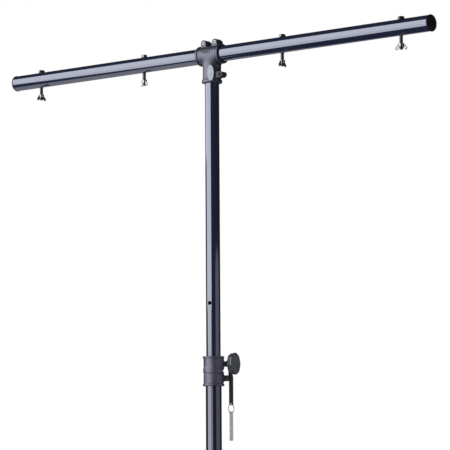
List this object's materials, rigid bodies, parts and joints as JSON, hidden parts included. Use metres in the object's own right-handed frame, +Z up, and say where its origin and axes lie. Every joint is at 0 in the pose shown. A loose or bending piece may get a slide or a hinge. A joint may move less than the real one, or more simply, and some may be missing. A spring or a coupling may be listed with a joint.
{
  "type": "light stand",
  "caption": "Telescopic light stand: a round mast with a knob clamp on a folding tripod, under a T-bar with hanging bolts and wing nuts for lamps.",
  "frame": {"origin": "on the floor under the mast's axis", "axes": "+Z up along the mast, the crossbar along X, the front towards -Y"},
  "size_m": [1.2, 1.0226, 2.014],
  "materials": {
    "black_gloss_paint": "gloss",
    "grey_casting": "satin grey paint",
    "dark_grey_casting": "satin dark grey paint",
    "bright_zinc": "bright zinc plate",
    "dull_steel": "dull",
    "black_plastic": "satin",
    "grey_green_plastic": "gloss",
    "white_nylon": "matt",
    "black_rubber": "matt",
    "strap_grey": "satin"
  },
  "bodies": {
    "base": {"outer_tube": "black_gloss_paint", "base_plug": "black_plastic", "foot_collar": "grey_casting", "strut_pin_1": "bright_zinc", "strut_pin_2": "bright_zinc", "strut_pin_3": "bright_zinc", "clamp_body": "dark_grey_casting", "clamp_liner": "white_nylon", "clamp_screw": "bright_zinc", "clamp_screw_nut": "bright_zinc", "knob_nut": "bright_zinc"},
    "glide": {"glide_bush": "white_nylon"},
    "mast": {"inner_tube": "black_gloss_paint", "t_head": "grey_casting", "sleeve_screw_left": "bright_zinc", "sleeve_screw_right": "bright_zinc", "socket_screw": "bright_zinc", "sleeve_nut_left": "bright_zinc", "sleeve_nut_right": "bright_zinc", "crossbar": "black_gloss_paint", "end_cap_left": "black_plastic", "end_cap_right": "black_plastic"},
    "lamp_bolt_1": {"lamp_bolt_1": "bright_zinc"},
    "wing_nut_1": {"wing_nut_1": "bright_zinc"},
    "lamp_bolt_2": {"lamp_bolt_2": "bright_zinc"},
    "wing_nut_2": {"wing_nut_2": "bright_zinc"},
    "lamp_bolt_3": {"lamp_bolt_3": "bright_zinc"},
    "wing_nut_3": {"wing_nut_3": "bright_zinc"},
    "lamp_bolt_4": {"lamp_bolt_4": "bright_zinc"},
    "wing_nut_4": {"wing_nut_4": "bright_zinc"},
    "clamp_knob": {"clamp_knob": "grey_green_plastic", "clamp_knob_stud": "bright_zinc"},
    "strap": {"strap": "strap_grey"},
    "ring": {"pin_ring": "bright_zinc"},
    "safety_pin": {"safety_pin": "dull_steel"},
    "hub": {"leg_hub": "grey_casting", "hub_rivet_1_left": "bright_zinc", "hub_rivet_1_right": "bright_zinc", "hub_rivet_2_left": "bright_zinc", "hub_rivet_2_right": "bright_zinc", "hub_rivet_3_left": "bright_zinc", "hub_rivet_3_right": "bright_zinc"},
    "hub_knob": {"hub_knob": "grey_green_plastic", "hub_knob_stud": "bright_zinc"},
    "strut_1": {"strut_1": "black_gloss_paint", "leg_pin_1": "bright_zinc"},
    "leg_1": {"leg_1": "black_gloss_paint", "leg_plug_1": "black_plastic", "foot_1": "black_rubber"},
    "strut_2": {"strut_2": "black_gloss_paint", "leg_pin_2": "bright_zinc"},
    "leg_2": {"leg_2": "black_gloss_paint", "leg_plug_2": "black_plastic", "foot_2": "black_rubber"},
    "strut_3": {"strut_3": "black_gloss_paint", "leg_pin_3": "bright_zinc"},
    "leg_3": {"leg_3": "black_gloss_paint", "leg_plug_3": "black_plastic", "foot_3": "black_rubber"}
  },
  "joints": [
    {"name": "mast_slide", "type": "slide", "parent": "base", "child": "glide", "axis": [0, 0, 1], "range_m": [-0.575, 0.4]},
    {"name": "mast_turn", "type": "hinge", "parent": "glide", "child": "mast", "pos_m": [0, 0, 0.674], "axis": [0, 0, 1], "continuous": true},
    {"name": "lamp_bolt_1_lift", "type": "slide", "parent": "mast", "child": "lamp_bolt_1", "axis": [0, 0, 1], "range_m": [0, 0.0155]},
    {"name": "wing_nut_1_turn", "type": "hinge", "parent": "lamp_bolt_1", "child": "wing_nut_1", "pos_m": [-0.52, 0, 1.939], "axis": [0, 0, 1], "continuous": true},
    {"name": "lamp_bolt_2_lift", "type": "slide", "parent": "mast", "child": "lamp_bolt_2", "axis": [0, 0, 1], "range_m": [0, 0.0155]},
    {"name": "wing_nut_2_turn", "type": "hinge", "parent": "lamp_bolt_2", "child": "wing_nut_2", "pos_m": [-0.2, 0, 1.939], "axis": [0, 0, 1], "continuous": true},
    {"name": "lamp_bolt_3_lift", "type": "slide", "parent": "mast", "child": "lamp_bolt_3", "axis": [0, 0, 1], "range_m": [0, 0.0155]},
    {"name": "wing_nut_3_turn", "type": "hinge", "parent": "lamp_bolt_3", "child": "wing_nut_3", "pos_m": [0.2, 0, 1.939], "axis": [0, 0, 1], "continuous": true},
    {"name": "lamp_bolt_4_lift", "type": "slide", "parent": "mast", "child": "lamp_bolt_4", "axis": [0, 0, 1], "range_m": [0, 0.0155]},
    {"name": "wing_nut_4_turn", "type": "hinge", "parent": "lamp_bolt_4", "child": "wing_nut_4", "pos_m": [0.52, 0, 1.939], "axis": [0, 0, 1], "continuous": true},
    {"name": "clamp_knob_turn", "type": "hinge", "parent": "base", "child": "clamp_knob", "pos_m": [-0.00871, 0.03493, 1.297], "axis": [0.9703, 0.2419, 0], "continuous": true},
    {"name": "strap_swing", "type": "hinge", "parent": "base", "child": "strap", "pos_m": [-0.00871, 0.03493, 1.297], "axis": [0.9703, 0.2419, 0], "range_deg": [-5, 60]},
    {"name": "ring_swing", "type": "hinge", "parent": "strap", "child": "ring", "pos_m": [0.01555, 0.04098, 1.2088], "axis": [-0.0523, 0.9986, 0], "range_deg": [-60, 60]},
    {"name": "safety_pin_swing", "type": "hinge", "parent": "ring", "child": "safety_pin", "pos_m": [0.01555, 0.04098, 1.1888], "axis": [-0.0523, 0.9986, 0], "range_deg": [-60, 60]},
    {"name": "hub_slide", "type": "slide", "parent": "base", "child": "hub", "axis": [0, 0, 1], "range_m": [0, 0.248]},
    {"name": "hub_knob_turn", "type": "hinge", "parent": "hub", "child": "hub_knob", "pos_m": [-0.0313, 0, 0.321], "axis": [-1, 0, 0], "continuous": true},
    {"name": "strut_1_fold", "type": "hinge", "parent": "base", "child": "strut_1", "pos_m": [0.04, 0, 0.071], "axis": [0, 1, 0], "range_deg": [-55.5, 0]},
    {"name": "leg_1_fold", "type": "hinge", "parent": "strut_1", "child": "leg_1", "pos_m": [0.25651, 0, 0.196], "axis": [0, 1, 0], "range_deg": [0, 111]},
    {"name": "strut_2_fold", "type": "hinge", "parent": "base", "child": "strut_2", "pos_m": [-0.02, 0.03464, 0.071], "axis": [-0.866, -0.5, 0], "range_deg": [-55.5, 0]},
    {"name": "leg_2_fold", "type": "hinge", "parent": "strut_2", "child": "leg_2", "pos_m": [-0.12825, 0.22214, 0.196], "axis": [-0.866, -0.5, 0], "range_deg": [0, 111]},
    {"name": "strut_3_fold", "type": "hinge", "parent": "base", "child": "strut_3", "pos_m": [-0.02, -0.03464, 0.071], "axis": [0.866, -0.5, 0], "range_deg": [-55.5, 0]},
    {"name": "leg_3_fold", "type": "hinge", "parent": "strut_3", "child": "leg_3", "pos_m": [-0.12825, -0.22214, 0.196], "axis": [0.866, -0.5, 0], "range_deg": [0, 111]}
  ],
  "couplings": [
    {"joint": "strut_1_fold", "follows": "hub_slide", "rad_per_m": -3.8987},
    {"joint": "leg_1_fold", "follows": "hub_slide", "rad_per_m": 7.7973},
    {"joint": "strut_2_fold", "follows": "hub_slide", "rad_per_m": -3.8987},
    {"joint": "leg_2_fold", "follows": "hub_slide", "rad_per_m": 7.7973},
    {"joint": "strut_3_fold", "follows": "hub_slide", "rad_per_m": -3.8987},
    {"joint": "leg_3_fold", "follows": "hub_slide", "rad_per_m": 7.7973}
  ]
}
